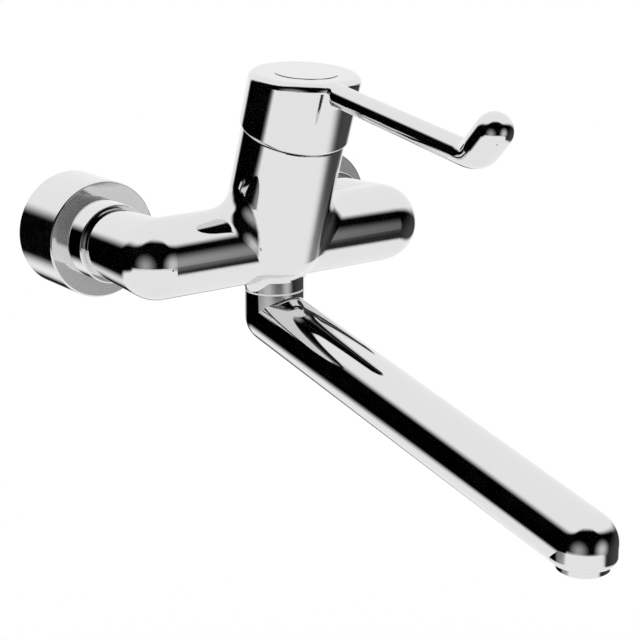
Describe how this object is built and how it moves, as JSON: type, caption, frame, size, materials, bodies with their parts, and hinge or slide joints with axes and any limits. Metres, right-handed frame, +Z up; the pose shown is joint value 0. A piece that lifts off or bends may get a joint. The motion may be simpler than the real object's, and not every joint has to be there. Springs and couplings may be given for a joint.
{
  "type": "elbow lever tap",
  "caption": "Wall-mounted mixer tap with a long elbow-operated lever on a leaning cartridge tower, a sloping swivel spout and eccentric wall unions.",
  "frame": {"origin": "on the finished wall, midway between the axes of the wall threads", "axes": "+Z up, +X to the user's right, -Y out of the wall towards the user; the wall is the plane Y = 0"},
  "size_m": [0.216, 0.3815, 0.2097],
  "materials": {
    "chrome": "mirror-polished chrome plate",
    "brass": "machined, unplated",
    "steel": "machined stainless steel",
    "rubber": "moulded",
    "ceramic": "lapped alumina",
    "cartridge_plastic": "moulded",
    "glide_plastic": "moulded",
    "insert_plastic": "moulded"
  },
  "bodies": {
    "tap_body": {"body_casting": "chrome", "cartridge_base": "cartridge_plastic", "base_seals": "rubber", "fixed_disc": "ceramic", "cartridge_housing": "cartridge_plastic", "cartridge_nut": "brass", "cover_ring": "chrome", "spout_screw": "steel", "wall_union_left": "brass", "escutcheon_left": "chrome", "union_nut_left": "chrome", "inlet_nipple_left": "brass", "filter_washer_left": "rubber", "wall_union_right": "brass", "escutcheon_right": "chrome", "union_nut_right": "chrome", "inlet_nipple_right": "brass", "filter_washer_right": "rubber"},
    "stem_carrier": {"stem_guide": "cartridge_plastic", "pivot_pin": "steel"},
    "lever_handle": {"handle": "chrome", "lever_stem": "brass", "handle_screw": "steel", "index_plug": "chrome"},
    "sliding_disc": {"moving_disc": "ceramic", "disc_carrier": "cartridge_plastic"},
    "swivel_spout": {"spout": "chrome", "spout_connector": "brass", "spout_o_rings": "rubber", "glide_ring": "glide_plastic", "aerator_housing": "chrome", "aerator_insert": "insert_plastic", "aerator_washer": "rubber"}
  },
  "joints": [
    {"name": "temperature_turn", "type": "hinge", "parent": "tap_body", "child": "stem_carrier", "pos_m": [0, -0.092, 0.008], "axis": [0, -0.3256, 0.9455], "range_deg": [-45, 45]},
    {"name": "flow_tilt", "type": "hinge", "parent": "stem_carrier", "child": "lever_handle", "pos_m": [0, -0.11039, 0.06142], "axis": [-1, 0, 0], "range_deg": [0, 25]},
    {"name": "disc_slide", "type": "slide", "parent": "stem_carrier", "child": "sliding_disc", "axis": [0, -0.9455, -0.3256], "range_m": [0, 0.0045]},
    {"name": "spout_swivel", "type": "hinge", "parent": "tap_body", "child": "swivel_spout", "pos_m": [0, -0.095, -0.019], "axis": [0, 0, 1], "range_deg": [-70, 70]}
  ],
  "couplings": [
    {"joint": "disc_slide", "follows": "flow_tilt", "m_per_rad": 0.01}
  ]
}
